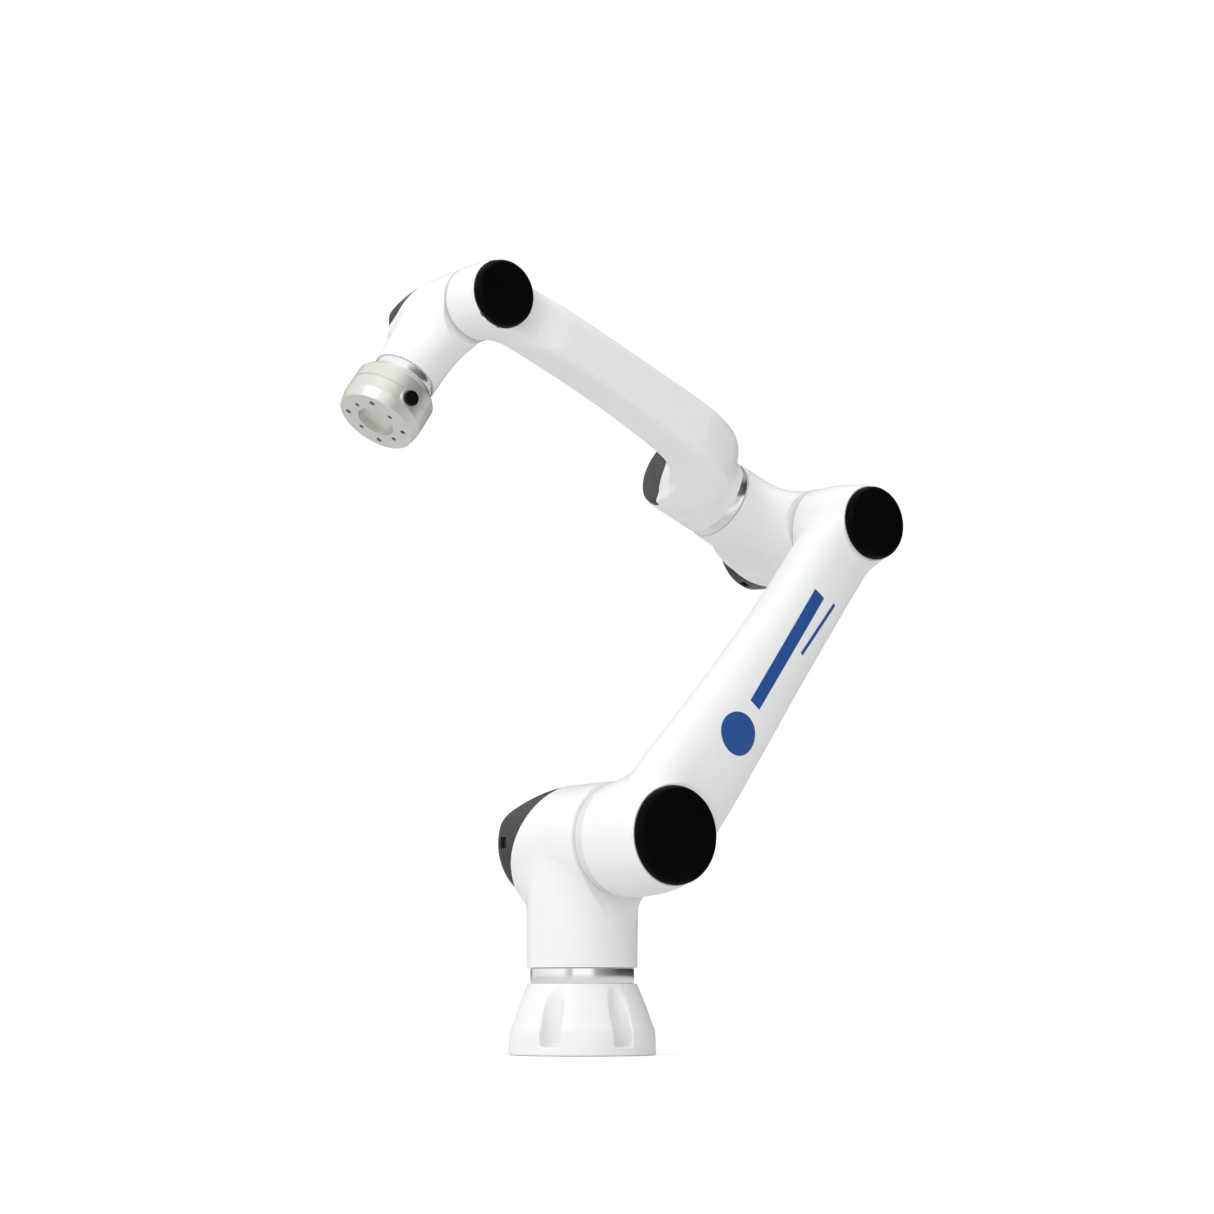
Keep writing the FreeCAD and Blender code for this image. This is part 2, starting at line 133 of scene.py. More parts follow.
def coated(name, c0, c1, r0, r1, peel=900.0, strength=0.10, dist=0.00025, metallic=0.0, coat=0.0, spec=0.5):
    """Painted or moulded surface: cloudy colour, fine peel in the surface, uneven gloss."""
    m, nt, bsdf = new_mat(name)
    vec = coords(nt)
    big = noise(nt, vec, 14.0, 3.0, 0.55)
    nt.links.new(ramp2(nt, big, c0, c1), bsdf.inputs["Base Color"])
    mid = noise(nt, vec, 60.0, 2.0)
    nt.links.new(remap(nt, mid, r0, r1), bsdf.inputs["Roughness"])
    fine = noise(nt, vec, peel, 2.0, 0.6)
    bump(nt, bsdf, fine, strength, dist)
    bsdf.inputs["Metallic"].default_value = metallic
    bsdf.inputs["Specular IOR Level"].default_value = spec
    if coat:
        bsdf.inputs["Coat Weight"].default_value = coat
        bsdf.inputs["Coat Roughness"].default_value = 0.16
    return m


def brushed(name, c0, c1, r0, r1, axis, scale=260.0, strength=0.05, metallic=1.0):
    """Turned metal: fine lines that run round the axis, so they vary along it."""
    m, nt, bsdf = new_mat(name)
    vec = coords(nt)
    dot = nt.nodes.new("ShaderNodeVectorMath")
    dot.operation = "DOT_PRODUCT"
    dot.inputs[1].default_value = tuple(float(v) for v in axis)
    nt.links.new(vec, dot.inputs[0])
    comb = nt.nodes.new("ShaderNodeCombineXYZ")
    nt.links.new(dot.outputs["Value"], comb.inputs["X"])
    lines = noise(nt, comb.outputs["Vector"], scale * 10.0, 2.0, 0.7)
    cloud = noise(nt, vec, 25.0, 2.0)
    nt.links.new(ramp2(nt, cloud, c0, c1), bsdf.inputs["Base Color"])
    nt.links.new(remap(nt, lines, r0, r1), bsdf.inputs["Roughness"])
    bump(nt, bsdf, lines, strength, 0.0001)
    bsdf.inputs["Metallic"].default_value = metallic
    return m


MAT = {
    "white": coated("cast_white_paint", (0.850, 0.856, 0.866), (0.872, 0.877, 0.885), 0.34, 0.44,
                    peel=1100.0, strength=0.08, dist=0.0002, coat=0.12),
    "black": coated("cap_black_plastic", (0.0012, 0.0012, 0.0013), (0.0019, 0.0019, 0.0021), 0.40, 0.50,
                    peel=2400.0, strength=0.12, dist=0.0001, spec=0.03),
    "cover": coated("cover_dark_plastic", (0.018, 0.018, 0.019), (0.026, 0.026, 0.027), 0.34, 0.46,
                    peel=2400.0, strength=0.10, dist=0.0001, spec=0.5),
    "seam": coated("seam_grey_plastic", (0.72, 0.725, 0.73), (0.76, 0.765, 0.77), 0.40, 0.52,
                   peel=1600.0, strength=0.08, dist=0.0001),
    "connector": coated("connector_black_shell", (0.0025, 0.0025, 0.0025), (0.004, 0.004, 0.004), 0.34, 0.44,
                        peel=2600.0, strength=0.10, dist=0.0001, spec=0.12),
    "flange": coated("flange_blasted_aluminium", (0.66, 0.66, 0.615), (0.71, 0.71, 0.665), 0.30, 0.40,
                     peel=3800.0, strength=0.15, dist=0.0001, metallic=0.75),
    "plate": coated("plate_zinc_steel", (0.45, 0.46, 0.47), (0.55, 0.56, 0.56), 0.32, 0.46,
                    peel=900.0, strength=0.06, dist=0.0001, metallic=0.9),
    "screw": coated("screw_dark_steel", (0.10, 0.10, 0.105), (0.16, 0.16, 0.165), 0.28, 0.40,
                    peel=1800.0, strength=0.06, dist=0.0001, metallic=0.9),
    "copper": coated("winding_enamelled_copper", (0.50, 0.20, 0.07), (0.62, 0.27, 0.10), 0.25, 0.40,
                     peel=1500.0, strength=0.35, dist=0.0003, metallic=0.85),
    "rotor": coated("rotor_magnet_steel", (0.20, 0.20, 0.21), (0.30, 0.30, 0.31), 0.26, 0.38,
                    peel=700.0, strength=0.06, dist=0.0001, metallic=0.95),
    "gear": coated("gear_ground_steel", (0.42, 0.42, 0.43), (0.52, 0.52, 0.53), 0.20, 0.32,
                   peel=700.0, strength=0.06, dist=0.0001, metallic=1.0),
    "board": coated("board_green_mask", (0.008, 0.075, 0.030), (0.012, 0.105, 0.042), 0.28, 0.40,
                    peel=500.0, strength=0.10, dist=0.0001),
    "cable": coated("cable_dark_jacket", (0.022, 0.022, 0.024), (0.034, 0.034, 0.036), 0.45, 0.60,
                    peel=1400.0, strength=0.15, dist=0.0002),
    "socket": coated("socket_black_resin", (0.010, 0.010, 0.011), (0.018, 0.018, 0.019), 0.40, 0.55,
                     peel=2200.0, strength=0.14, dist=0.0001),
    "brass": coated("contact_brass", (0.72, 0.50, 0.20), (0.80, 0.58, 0.26), 0.20, 0.32,
                    peel=1500.0, strength=0.05, dist=0.0001, metallic=1.0),
    "blue": coated("decal_blue_film", (0.008, 0.070, 0.300), (0.010, 0.078, 0.330), 0.32, 0.40,
                   peel=900.0, strength=0.05, dist=0.0001),
    "ring_z": brushed("ring_polished_base", (0.80, 0.81, 0.82), (0.86, 0.87, 0.88), 0.10, 0.20, ZZ),
    "ring_4": brushed("ring_polished_elbow", (0.80, 0.81, 0.82), (0.86, 0.87, 0.88), 0.10, 0.20, E4),
    "ring_6": brushed("ring_polished_wrist", (0.80, 0.81, 0.82), (0.86, 0.87, 0.88), 0.10, 0.20, E6),
}


def paint(obj, mat):
    obj.data.materials.clear()
    obj.data.materials.append(MAT[mat])


# ------------------------------------------------------------------ mesh helpers
def finish_mesh(name, bm, mat, node=None, body=None, angle=32.0):
    bmesh.ops.recalc_face_normals(bm, faces=bm.faces[:])
    me = bpy.data.meshes.new(name)
    bm.to_mesh(me)
    bm.free()
    me.shade_smooth()
    me.set_sharp_from_angle(angle=rad(angle))
    ob = bpy.data.objects.new(name, me)
    bpy.context.scene.collection.objects.link(ob)
    paint(ob, mat)
    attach(ob, body or BODY_OF[node])
    if node:
        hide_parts(node)
    return ob


def rounded(profile, default=0.0, steps=4):
    """Closed (r, t) polygon with corner radii: entries (r, t) or (r, t, radius)."""
    out = []
    n = len(profile)
    for i in range(n):
        p = profile[i]
        rr = p[2] if len(p) > 2 else default
        P = np.array(p[:2], float)
        A = np.array(profile[i - 1][:2], float)
        B = np.array(profile[(i + 1) % n][:2], float)
        da, db = np.linalg.norm(A - P), np.linalg.norm(B - P)
        if rr <= 0 or P[0] < 1e-6 or da < 1e-6 or db < 1e-6:
            out.append(tuple(P))
            continue
        va, vb = (A - P) / da, (B - P) / db
        cosx = float(np.clip(va @ vb, -0.9999, 0.9999))
        half = math.acos(cosx) / 2
        d = min(rr / math.tan(half), 0.48 * da, 0.48 * db)
        r_eff = d * math.tan(half)
        bis = va + vb
        bis = bis / np.linalg.norm(bis)
        Cc = P + bis * (r_eff / math.sin(half))
        a0 = P + va * d - Cc
        a1 = P + vb * d - Cc
        ang0, ang1 = math.atan2(a0[1], a0[0]), math.atan2(a1[1], a1[0])
        dd = (ang1 - ang0 + math.pi) % (2 * math.pi) - math.pi
        for k in range(steps + 1):
            a = ang0 + dd * k / steps
            out.append((Cc[0] + r_eff * math.cos(a), Cc[1] + r_eff * math.sin(a)))
    return out


def lathe_bm(profile, origin, axis, xref, seg=128, bm=None):
    """Revolves a closed (r, t) polygon about the axis.  Points at r = 0 become poles."""
    bm = bm or bmesh.new()
    a = np.array(axis, float)
    x = np.array(xref, float)
    x = x - a * (x @ a)
    x /= np.linalg.norm(x)
    y = np.cross(a, x)
    rows = []
    for r, t in profile:
        if r < 1e-6:
            rows.append([bm.verts.new(Vector((origin + a * t) / 1000.0))])
        else:
            rows.append([bm.verts.new(Vector((origin + a * t + (x * math.cos(2 * math.pi * k / seg)
                        + y * math.sin(2 * math.pi * k / seg)) * r) / 1000.0)) for k in range(seg)])
    n = len(rows)
    for i in range(n):
        A, B = rows[i], rows[(i + 1) % n]
        if len(A) == 1 and len(B) == 1:
            continue
        for k in range(seg):
            k2 = (k + 1) % seg
            if len(A) == 1:
                bm.faces.new((A[0], B[k], B[k2]))
            elif len(B) == 1:
                bm.faces.new((A[k], B[0], A[k2]))
            else:
                bm.faces.new((A[k], B[k], B[k2], A[k2]))
    return bm


def nets(func, lo, hi, h):
    """Skin of the region func < 0 on a grid, moved onto the surface. Returns points and quads."""
    ax = [np.arange(lo[i], hi[i] + h, h) for i in range(3)]
    f = func(ax[0][:, None, None], ax[1][None, :, None], ax[2][None, None, :]).astype(np.float32)
    f = np.broadcast_to(f, (len(ax[0]), len(ax[1]), len(ax[2])))
    nx, ny, nz = f.shape
    s = f < 0
    cnt = np.zeros((nx - 1, ny - 1, nz - 1), np.int8)
    for dx in (0, 1):
        for dy in (0, 1):
            for dz in (0, 1):
                cnt += s[dx:nx - 1 + dx, dy:ny - 1 + dy, dz:nz - 1 + dz]
    act = (cnt > 0) & (cnt < 8)
    I, J, K = np.nonzero(act)
    idx = -np.ones(act.shape, np.int64)
    idx[I, J, K] = np.arange(len(I))
    acc = np.zeros((len(I), 3))
    num = np.zeros(len(I))
    for axis in range(3):
        o = [0, 0, 0]
        for p in (0, 1):
            for q in (0, 1):
                o[(axis + 1) % 3], o[(axis + 2) % 3] = p, q
                o[axis] = 0
                a = f[I + o[0], J + o[1], K + o[2]]
                e = list(o)
                e[axis] = 1
                b = f[I + e[0], J + e[1], K + e[2]]
                m = (a < 0) != (b < 0)
                t = np.where(m, a / np.where(m, a - b, 1.0), 0.0)
                c = np.array(o, float)[None, :].repeat(len(I), 0)
                c[:, axis] = t
                acc += c * m[:, None]
                num += m
    P = acc / np.maximum(num, 1)[:, None]
    P = (P + np.stack([I, J, K], 1)) * h + np.array([a[0] for a in ax])
    quads = []
    for axis in range(3):
        A = [slice(None)] * 3
        B = [slice(None)] * 3
        A[axis] = slice(0, -1)
        B[axis] = slice(1, None)
        sa, sb = s[tuple(A)], s[tuple(B)]
        m = sa != sb
        u, v = (axis + 1) % 3, (axis + 2) % 3
        sl = [slice(None)] * 3
        sl[u] = slice(1, -1)
        sl[v] = slice(1, -1)
        mm = m[tuple(sl)]
        g = list(np.nonzero(mm))
        g[u] = g[u] + 1
        g[v] = g[v] + 1
        inside = sa[tuple(g)]

        def cell(du, dv):
            c = [g[0].copy(), g[1].copy(), g[2].copy()]
            c[u] = c[u] + du
            c[v] = c[v] + dv
            return idx[c[0], c[1], c[2]]
        q = np.stack([cell(-1, -1), cell(0, -1), cell(0, 0), cell(-1, 0)], 1)
        q = np.where(inside[:, None], q, q[:, ::-1])
        quads.append(q)
    Q = np.concatenate(quads)
    Q = Q[(Q >= 0).all(1)]
    # onto the surface
    for _ in range(3):
        e = 0.05
        v0 = func(P[:, 0], P[:, 1], P[:, 2])
        g = np.stack([func(P[:, 0] + e, P[:, 1], P[:, 2]) - func(P[:, 0] - e, P[:, 1], P[:, 2]),
                      func(P[:, 0], P[:, 1] + e, P[:, 2]) - func(P[:, 0], P[:, 1] - e, P[:, 2]),
                      func(P[:, 0], P[:, 1], P[:, 2] + e) - func(P[:, 0], P[:, 1], P[:, 2] - e)], 1) / (2 * e)
        gg = np.maximum((g * g).sum(1), 0.2)
        step = -v0[:, None] * g / gg[:, None]
        ln = np.linalg.norm(step, axis=1)
        step *= np.minimum(1.0, 0.8 * h / np.maximum(ln, 1e-9))[:, None]
        P = P + step
    return P, Q


def skin_bm(P, Q):
    bm = bmesh.new()
    me = bpy.data.meshes.new("tmp")
    me.from_pydata([tuple(p) for p in P], [], [tuple(int(i) for i in q) for q in Q])
    bm.from_mesh(me)
    bpy.data.meshes.remove(me)
    return bm


def slice_off(bm, point, normal, where=None):
    """Cuts away everything past a plane, near which `where` holds, and closes the cut with a flat face."""
    P = Vector(point)
    n = Vector(normal).normalized()
    if where is None:
        geom = bm.verts[:] + bm.edges[:] + bm.faces[:]
    else:
        vs = [v for v in bm.verts if where(v.co)]
        ok = set(vs)
        es = [e for e in bm.edges if e.verts[0] in ok and e.verts[1] in ok]
        fs = [f for f in bm.faces if all(v in ok for v in f.verts)]
        geom = vs + es + fs
    bmesh.ops.bisect_plane(bm, geom=geom, dist=0.02, plane_co=P, plane_no=n, clear_outer=True)
    edges = [e for e in bm.edges if len(e.link_faces) == 1
             and abs((e.verts[0].co - P).dot(n)) < 0.05 and abs((e.verts[1].co - P).dot(n)) < 0.05
             and (where is None or (where(e.verts[0].co)))]
    bmesh.ops.triangle_fill(bm, edges=edges, use_beauty=True, use_dissolve=False, normal=n)


def to_world(bm, origin, ax, ay, az):
    """Local (a, b, c) millimetres to metres in the row frame."""
    M = Matrix(((ax[0], ay[0], az[0], origin[0]), (ax[1], ay[1], az[1], origin[1]),
                (ax[2], ay[2], az[2], origin[2]), (0, 0, 0, 1)))
    bmesh.ops.transform(bm, matrix=Matrix.Scale(0.001, 4) @ M, verts=bm.verts[:])


# ------------------------------------------------------------------ distance functions (mm)
def smin(a, b, k):
    k = np.maximum(k, 1e-3)
    hh = np.maximum(k - np.abs(a - b), 0.0) / k
    return np.minimum(a, b) - hh * hh * k * 0.25


def smax(a, b, k):
    return -smin(-a, -b, k)


def curve(xs, ys):
    """Smooth monotone-ish interpolation (Catmull-Rom through the knots)."""
    xs, ys = np.array(xs, float), np.array(ys, float)
    m = np.zeros_like(ys)
    m[1:-1] = (ys[2:] - ys[:-2]) / (xs[2:] - xs[:-2])
    m[0] = (ys[1] - ys[0]) / (xs[1] - xs[0])
    m[-1] = (ys[-1] - ys[-2]) / (xs[-1] - xs[-2])

    def f(x):
        x = np.asarray(x, float)
        xc = np.clip(x, xs[0], xs[-1])
        i = np.clip(np.searchsorted(xs, xc, side="right") - 1, 0, len(xs) - 2)
        hh = xs[i + 1] - xs[i]
        t = (xc - xs[i]) / hh
        t2, t3 = t * t, t * t * t
        y = ((2 * t3 - 3 * t2 + 1) * ys[i] + (t3 - 2 * t2 + t) * hh * m[i]
             + (-2 * t3 + 3 * t2) * ys[i + 1] + (t3 - t2) * hh * m[i + 1])
        return y
    return f


def extrude_d(d2, ds):
    """Distance for a section distance d2 limited along its length by ds."""
    return np.minimum(np.maximum(d2, ds), 0.0) + np.hypot(np.maximum(d2, 0.0), np.maximum(ds, 0.0))


# ------------------------------------------------------------------ corner housings
def housing(tag, O, e, rh, ys, rt0, rt1, sr, bh, bt, cy, ck, ye, c0, c1, k_in, h, full):
    th = math.atan(ck)
    # local axes: a = Y, b = e, c = Y x e
    x = np.cross(YY, e)
    nrm = np.array([-math.cos(th), -math.sin(th), 0.0])
    wall = rh - bh

    def f(a, b, c):
        ry = np.sqrt(b * b + c * c)
        rs = np.sqrt(a * a + c * c)
        hub = ry - rh
        rt = rt0 + (rt1 - rt0) * np.clip(b / sr, 0, 1.05)
        tube = extrude_d(rs - rt, -b)
        dot = c * c / np.maximum(ry * rs, 1e-6)
        k = k_in * np.clip(1.0 - dot, 0, 1) * np.clip((b - 5.0) / 25.0, 0, 1)
        out = smin(hub, tube, k)
        out = smax(out, -(a + ye + 1.5), 10.0 * rh / 60.0)
        pn = (a + cy) * nrm[0] + b * nrm[1]
        bore = np.minimum(np.maximum(ry - bh, pn + 6.0), ry - (rh - 1.5 * wall))
        bore = np.minimum(bore, np.maximum(rs - bt, 0.4 * bh - b))
        return np.maximum(out, -bore)

    lo = (-cy - ck * rh - 6.0, -rh - 3.1, -rh - 3.3)
    hi = (ys + 3.0, sr + 3.0, rh + 3.3)
    P, Q = nets(f, lo, hi, h)
    bm = skin_bm(P, Q)
    slice_off(bm, (ys - 0.3, 0, 0), (1, 0, 0))
    slice_off(bm, (0, sr, 0), (0, 1, 0))
    slice_off(bm, (-cy, 0, 0), tuple(nrm))
    to_world(bm, O, YY, e, x)
    finish_mesh(tag + "_housing_cast", bm, "white", node=tag + "_housing", angle=38)

    # domed cover that carries the tube on past the oblique joint
    k = rh / 60.0
    tc = math.atan(c1)
    ncv = np.array([-math.cos(tc), -math.sin(tc)])
    an = -(cy + 0.62 * (ye - cy))

    def g(a, b, c):
        d = smax(np.sqrt(b * b + c * c) - (rh - 0.6), -(a + ye + 1.5), 10.0 * k)
        d = smax(d, (a + c0) * ncv[0] + (b + rh) * ncv[1] - full, 14.0 * k)
        for side in (1, -1):
            cut = np.maximum(np.maximum(np.abs(a - an) - 5.0 * k, np.abs(b) - 5.5 * k), rh - 6.5 * k - c * side)
            d = smax(d, -cut, 1.6)
        return d

    P, Q = nets(g, (-ye - 4.4, -rh - 2.7, -rh - 2.9), (-cy + ck * rh + 6.0, rh + 2.7, rh + 2.9), h * 0.85)
    bm = skin_bm(P, Q)
    slice_off(bm, tuple(np.array([-cy, 0, 0]) + nrm * 0.35), tuple(-nrm))
    to_world(bm, O, YY, e, x)
    finish_mesh(tag + "_cover_dome", bm, "cover", node=tag + "_cover", angle=38)


housing("shoulder", J2, -ZZ, 60.5, 62.0, 59.0, 57.5, 130.8, 52.0, 50.0, 38.5, 0.53, 73.0, 14.0, 1.5, 46.0, 1.7, 10.0)
housing("elbow", J3, E4, 50.0, 71.0, 48.0, 46.5, 98.0, 42.0, 40.0, 25.5, 0.50, 53.0, 6.0, 1.3, 52.0, 1.5, 9.0)
housing("wrist", J5, E6, 38.5, 55.6, 37.5, 34.0, 87.8, 32.5, 29.5, 12.0, 0.95, 51.0, -21.0, 1.5, 56.0, 1.25, -1.5)

# ------------------------------------------------------------------ upper arm casting
US = [0, 70, 150, 230, 320, 390, 450]
u_a = curve(US, [56.0, 55.5, 50.5, 46.0, 43.0, 42.5, 43.0])
u_b = curve(US, [33.5, 33.5, 33.0, 32.5, 32.3, 32.3, 32.0])
u_y = curve(US, [116.8, 117.0, 117.4, 117.0, 116.0, 114.5, 112.5])
u_n = curve(US, [0.0, -1.0, -2.0, -2.0, -1.5, -0.5, 0.0])
h2r = curve([70, 77.6, 96, 122, 140, 151, 158], [60.0, 60.0, 60.0, 58.0, 54.5, 51.0, 48.4])
h3r = curve([70, 76, 96, 122, 139, 149, 156], [49.0, 49.0, 49.0, 47.0, 44.0, 41.0, 38.5])


def upper_outer(n, y, s):
    sc = np.clip(s, 0, 450)
    a, b, yc, nc = u_a(sc), u_b(sc), u_y(sc), u_n(sc)
    p = 2.5
    X, Yv = np.abs(n - nc), np.abs(y - yc)
    q = ((X / a) ** p + (Yv / b) ** p) ** (1.0 / p)
    q = np.maximum(q, 1e-3)
    gx = (X / a) ** (p - 1) / a * q ** (1 - p) * np.sign(n - nc)
    gy = (Yv / b) ** (p - 1) / b * q ** (1 - p)
    gl = np.maximum(np.sqrt(gx * gx + gy * gy), 1e-4)
    d2 = (q - 1.0) / gl
    beam = extrude_d(np.clip(d2, -60, 200), np.maximum(-s, s - 450.0))
    gn = gx / gl
    r2 = np.sqrt(n * n + s * s)
    r3 = np.sqrt(n * n + (s - 450.0) ** 2)
    hub2 = extrude_d(r2 - h2r(y), np.maximum(72.0 - y, y - 157.0))
    hub3 = extrude_d(r3 - h3r(y), np.maximum(71.0 - y, y - 155.0))
    k2 = 34.0 * np.clip(1.0 - n * gn / np.maximum(r2, 1e-3), 0, 1)
    k3 = 30.0 * np.clip(1.0 - n * gn / np.maximum(r3, 1e-3), 0, 1)
    # the rim next to the cap stays its own edge
    k2 = k2 * np.clip((158.0 - y) / 18.0, 0.0, 1)
    k3 = k3 * np.clip((156.0 - y) / 16.0, 0.0, 1)
    out = smin(beam, hub2, k2)
    return smin(out, hub3, k3)


def upper_f(n, y, s):
    o = upper_outer(n, y, s)
    r2 = np.sqrt(n * n + s * s)
    r3 = np.sqrt(n * n + (s - 450.0) ** 2)
    f = np.maximum(o, -(o + 5.0))
    # open ends for the drives and caps
    f = np.maximum(f, -np.maximum(r2 - 46.0, np.abs(y - 165.0) - 20.0))
    f = np.maximum(f, -np.maximum(r3 - 36.0, np.abs(y - 163.0) - 20.0))
    f = np.maximum(f, -np.maximum(r2 - 20.0, np.abs(y - 66.0) - 20.0))
    f = np.maximum(f, -np.maximum(r3 - 16.0, np.abs(y - 66.0) - 20.0))
    return f


P, Q = nets(upper_f, (-63.0, 68.0, -64.0), (63.0, 160.0, 503.0), 1.9)
bm = skin_bm(P, Q)
slice_off(bm, (0, 151.0, 0), (0, 1, 0), lambda c: c.z < 62 and c.y > 140)
slice_off(bm, (0, 149.0, 0), (0, 1, 0), lambda c: c.z > 398 and c.y > 140)
slice_off(bm, (0, 77.6, 0), (0, -1, 0), lambda c: c.z < 225 and c.y < 82)
slice_off(bm, (0, 76.0, 0), (0, -1, 0), lambda c: c.z >= 225 and c.y < 80)
to_world(bm, J2, N2, YY, E2)
finish_mesh("upper_arm_cast", bm, "white", node="upper_arm_shell", angle=38)

# ------------------------------------------------------------------ forearm casting
FS = np.array([
    # s, y, direction, half across, half along N4, centre along N4, edge radius below, above
    (148.8, -2.0, 85.0, 31.0, 43.0, 0.0, 27.0, 30.0),
    (153.5, 27.0, 72.0, 32.0, 42.0, 0.0, 22.0, 27.0),
    (165.5, 49.2, 51.0, 32.5, 40.5, 0.5, 15.0, 24.0),
    (187.0, 68.2, 27.0, 31.3, 38.5, 1.5, 10.0, 21.0),
    (218.5, 79.3, 8.0, 28.7, 36.0, 2.5, 9.0, 19.0),
    (270.0, 82.5, 0.5, 27.5, 33.8, 3.5, 9.0, 19.0),
    (345.0, 82.5, 0.0, 27.0, 32.0, 4.5, 9.0, 18.0),
    (420.0, 82.0, -1.0, 25.0, 32.5, 3.5, 10.0, 18.0),
    (465.0, 81.0, -1.0, 20.6, 33.5, 1.5, 14.0, 18.0),
    (500.0, 81.0, 0.0, 19.0, 34.0, 0.0, 16.0, 18.0)])


def support_half(ha, hb, r):
    h = ((ha * 0.424) ** 1.667 + (hb * 0.906) ** 1.667) ** 0.6
    return (h - r - np.maximum(ha - r, 0) * 0.424) / 0.906 + r


# path: cubic Hermite through the points with the given directions
NS = 480
tk = np.concatenate([[0], np.cumsum(np.hypot(np.diff(FS[:, 0]), np.diff(FS[:, 1])))])
tt = np.linspace(0, tk[-1], NS)


def hermite(vals, slopes):
    i = np.clip(np.searchsorted(tk, tt, side="right") - 1, 0, len(tk) - 2)
    hh = tk[i + 1] - tk[i]
    t = (tt - tk[i]) / hh
    t2, t3 = t * t, t ** 3
    return ((2 * t3 - 3 * t2 + 1) * vals[i] + (t3 - 2 * t2 + t) * hh * slopes[i]
            + (-2 * t3 + 3 * t2) * vals[i + 1] + (t3 - t2) * hh * slopes[i + 1])


ps = hermite(FS[:, 0], np.cos(np.radians(FS[:, 2])))
py = hermite(FS[:, 1], np.sin(np.radians(FS[:, 2])))
ds_, dy_ = np.gradient(ps), np.gradient(py)
ln_ = np.hypot(ds_, dy_)
tx_, ty_ = ds_ / ln_, dy_ / ln_
arc = np.concatenate([[0], np.cumsum(np.hypot(np.diff(ps), np.diff(py)))])
w_a = np.interp(tt, tk, FS[:, 3])
cA = curve(tk, FS[:, 3])(tt)
cB = curve(tk, FS[:, 4])(tt)
cN = curve(tk, FS[:, 5])(tt)
cRb = curve(tk, FS[:, 6])(tt)
cRt = curve(tk, FS[:, 7])(tt)
cBot = support_half(cA, cB, cRb)
cTop = support_half(cA, cB, cRt)


def fore_beam(s, y, n):
    """Distance to the swept beam and its direction pieces."""
    S, Yv = np.broadcast_arrays(s, y)
    flatS, flatY = S.ravel(), Yv.ravel()
    best = np.zeros(flatS.shape, np.int64)
    step = 4000
    for i0 in range(0, len(flatS), step):
        dx = flatS[i0:i0 + step, None] - ps[None, :]
        dy = flatY[i0:i0 + step, None] - py[None, :]
        best[i0:i0 + step] = np.argmin(dx * dx + dy * dy, 1)
    dx, dy = flatS - ps[best], flatY - py[best]
    al = dx * tx_[best] + dy * ty_[best]
    t = arc[best] + al
    # tangent at the refined place
    tx = np.interp(t, arc, tx_)
    ty = np.interp(t, arc, ty_)
    ll = np.hypot(tx, ty)
    tx, ty = tx / ll, ty / ll
    qx, qy = np.interp(t, arc, ps), np.interp(t, arc, py)
    c = -(flatS - qx) * ty + (flatY - qy) * tx
    over = np.maximum(-t, t - arc[-1])
    sh = S.shape
    g = lambda v: np.interp(t, arc, v).reshape(sh)
    A, B0, B1, N0, R0, R1 = g(cA), g(cBot), g(cTop), g(cN), g(cRb), g(cRt)
    c, tx, ty, over = c.reshape(sh), tx.reshape(sh), ty.reshape(sh), over.reshape(sh)
    m = n - N0
    top = m > 0
    R = np.where(top, R1, R0)
    Bh = np.where(top, B1, B0)
    q1 = np.abs(c) - (A - R)
    q2 = np.abs(m) - (Bh - R)
    p1, p2 = np.maximum(q1, 0), np.maximum(q2, 0)
    L = np.hypot(p1, p2)
    d2 = L + np.minimum(np.maximum(q1, q2), 0) - R
    # the step between the two edge radii near mid height is smoothed out by the blend below
    inner = L < 1e-6
    g1 = np.where(inner, (q1 > q2) * 1.0, p1 / np.maximum(L, 1e-6)) * np.sign(c)
    g2 = np.where(inner, (q1 <= q2) * 1.0, p2 / np.maximum(L, 1e-6)) * np.sign(m)
    d = extrude_d(d2, over)
    return d, g1 * (-ty), g1 * tx, g2


h5r = curve([50, 60, 74, 88, 97, 103, 110], [38.5, 38.5, 38.5, 37.6, 36.4, 35.2, 33.6])


def fore_outer(s, y, n):
    beam, gs, gy, gn = fore_beam(s, y, n)
    rs = np.sqrt(y * y + n * n)
    stub_side = rs - 46.0
    stub = smax(stub_side, s - 170.0, 2.2)
    stub = np.maximum(stub, 105.0 - s)
    dot = (y * gy + n * gn) / np.maximum(rs, 1e-3)
    k = 44.0 * np.clip(1.0 - dot, 0, 1) * np.clip((169.0 - s) / 12.0, 0, 1)
    out = smin(stub, beam, k)
    # the crank's side of the stub runs on over the end cap
    shroud = smax(smax(rs - 46.0, s - 178.6, 3.0), -(y + 2.0), 3.0)
    out = smin(out, np.maximum(shroud, 150.0 - s), 5.0)
    r5 = np.sqrt((s - 500.0) ** 2 + n * n)
    hub = extrude_d(r5 - h5r(y), np.maximum(55.0 - y, y - 109.0))
    dot5 = ((s - 500.0) * gs + n * gn) / np.maximum(r5, 1e-3)
    k5 = 26.0 * np.clip(1.0 - dot5, 0, 1) * np.clip((110.0 - y) / 14.0, 0, 1) * np.clip((y - 56.0) / 8.0, 0, 1)
    both = smin(out, hub, k5)
    near = np.clip((s - 415.0) / 30.0, 0, 1)
    low = smax(both, (y - 101.6) * 0.97 - 6.0 * (1.0 - near), 7.0 * near + 0.01)
    return np.minimum(low, hub), beam


